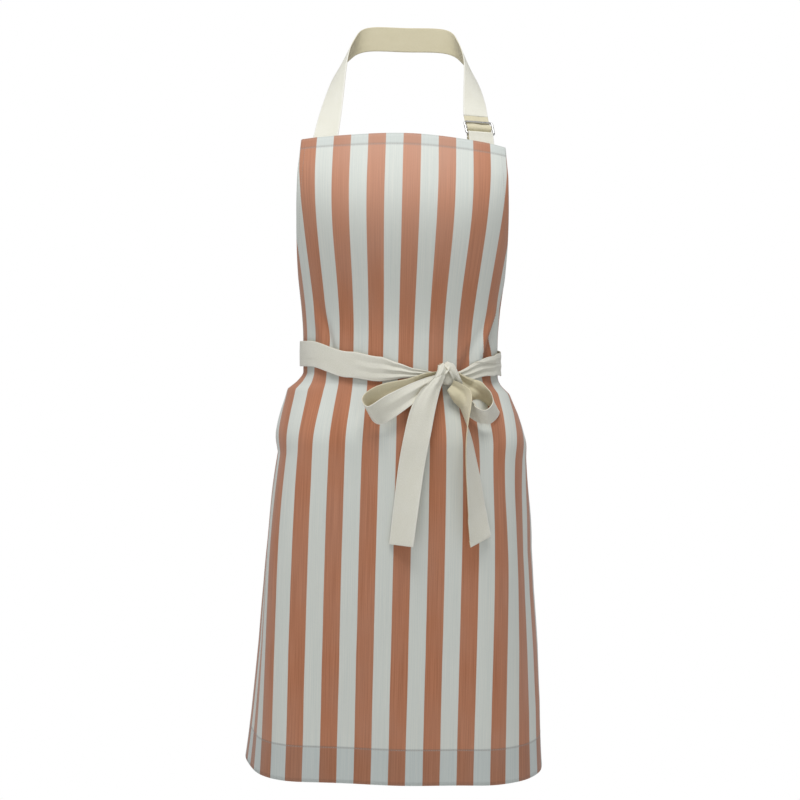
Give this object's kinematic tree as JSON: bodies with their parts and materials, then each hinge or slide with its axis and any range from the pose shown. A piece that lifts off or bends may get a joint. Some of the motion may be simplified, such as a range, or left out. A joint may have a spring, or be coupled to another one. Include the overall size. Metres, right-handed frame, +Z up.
{
  "type": "bib apron",
  "caption": "Striped cotton bib apron in its worn shape, with an adjustable tape neck strap and waist ties that cross behind and tie in a front bow.",
  "frame": {"origin": "middle of the neck strap's inner face at the nape, where the worn or hanging apron bears", "axes": "+Z up, +X towards the right of somebody looking at the apron's front, -Y out of its front"},
  "size_m": [0.4138, 0.2506, 1.0549],
  "materials": {
    "striped_canvas": "yarn-dyed twill canvas in terracotta and soft white stripes",
    "cotton_tape": "undyed cream cotton twill tape, matt",
    "sewing_thread": "off-white polyester thread, slight sheen",
    "slider_steel": "nickel-plated steel wire"
  },
  "bodies": {
    "apron": {"apron_panel": "striped_canvas", "top_hem": "striped_canvas", "bottom_hem": "striped_canvas", "left_armhole_hem": "striped_canvas", "right_armhole_hem": "striped_canvas", "left_side_hem": "striped_canvas", "right_side_hem": "striped_canvas", "top_hem_thread": "sewing_thread", "bottom_hem_thread": "sewing_thread", "edge_threads": "sewing_thread", "box_stitches": "sewing_thread", "neck_strap": "cotton_tape", "slider_tab": "cotton_tape", "left_waist_tie": "cotton_tape", "right_waist_tie": "cotton_tape", "bow_knot": "cotton_tape"},
    "slider": {"slider_frame": "slider_steel", "slider_bar": "slider_steel", "strap_in_slider": "cotton_tape"},
    "free_end": {"strap_free_end": "cotton_tape"},
    "left_loop": {"left_bow_loop": "cotton_tape"},
    "right_loop": {"right_bow_loop": "cotton_tape"},
    "left_tail": {"left_tie_tail": "cotton_tape"},
    "right_tail": {"right_tie_tail": "cotton_tape"}
  },
  "joints": [
    {"name": "slider_tilt", "type": "hinge", "parent": "apron", "child": "slider", "pos_m": [0.10347, -0.13645, -0.15661], "axis": [0.9633, 0.2684, 0], "range_deg": [0, 25], "stiffness_Nm_per_rad": 0.03},
    {"name": "free_end_swing", "type": "hinge", "parent": "slider", "child": "free_end", "pos_m": [0.1025, -0.13296, -0.16076], "axis": [0.9633, 0.2684, 0], "range_deg": [-15, 40]},
    {"name": "left_loop_droop", "type": "hinge", "parent": "apron", "child": "left_loop", "pos_m": [0.05247, -0.16127, -0.487], "axis": [0.3146, -0.9492, 0], "range_deg": [-15, 3], "stiffness_Nm_per_rad": 0.03},
    {"name": "right_loop_droop", "type": "hinge", "parent": "apron", "child": "right_loop", "pos_m": [0.07812, -0.15277, -0.49], "axis": [-0.3146, 0.9492, 0], "range_deg": [-15, 3], "stiffness_Nm_per_rad": 0.03},
    {"name": "left_tail_swing", "type": "hinge", "parent": "apron", "child": "left_tail", "pos_m": [0.05408, -0.1718, -0.486], "axis": [-0.9492, -0.3146, 0], "range_deg": [0, 50]},
    {"name": "right_tail_swing", "type": "hinge", "parent": "apron", "child": "right_tail", "pos_m": [0.07496, -0.16535, -0.497], "axis": [-0.9492, -0.3146, 0], "range_deg": [0, 50]}
  ]
}
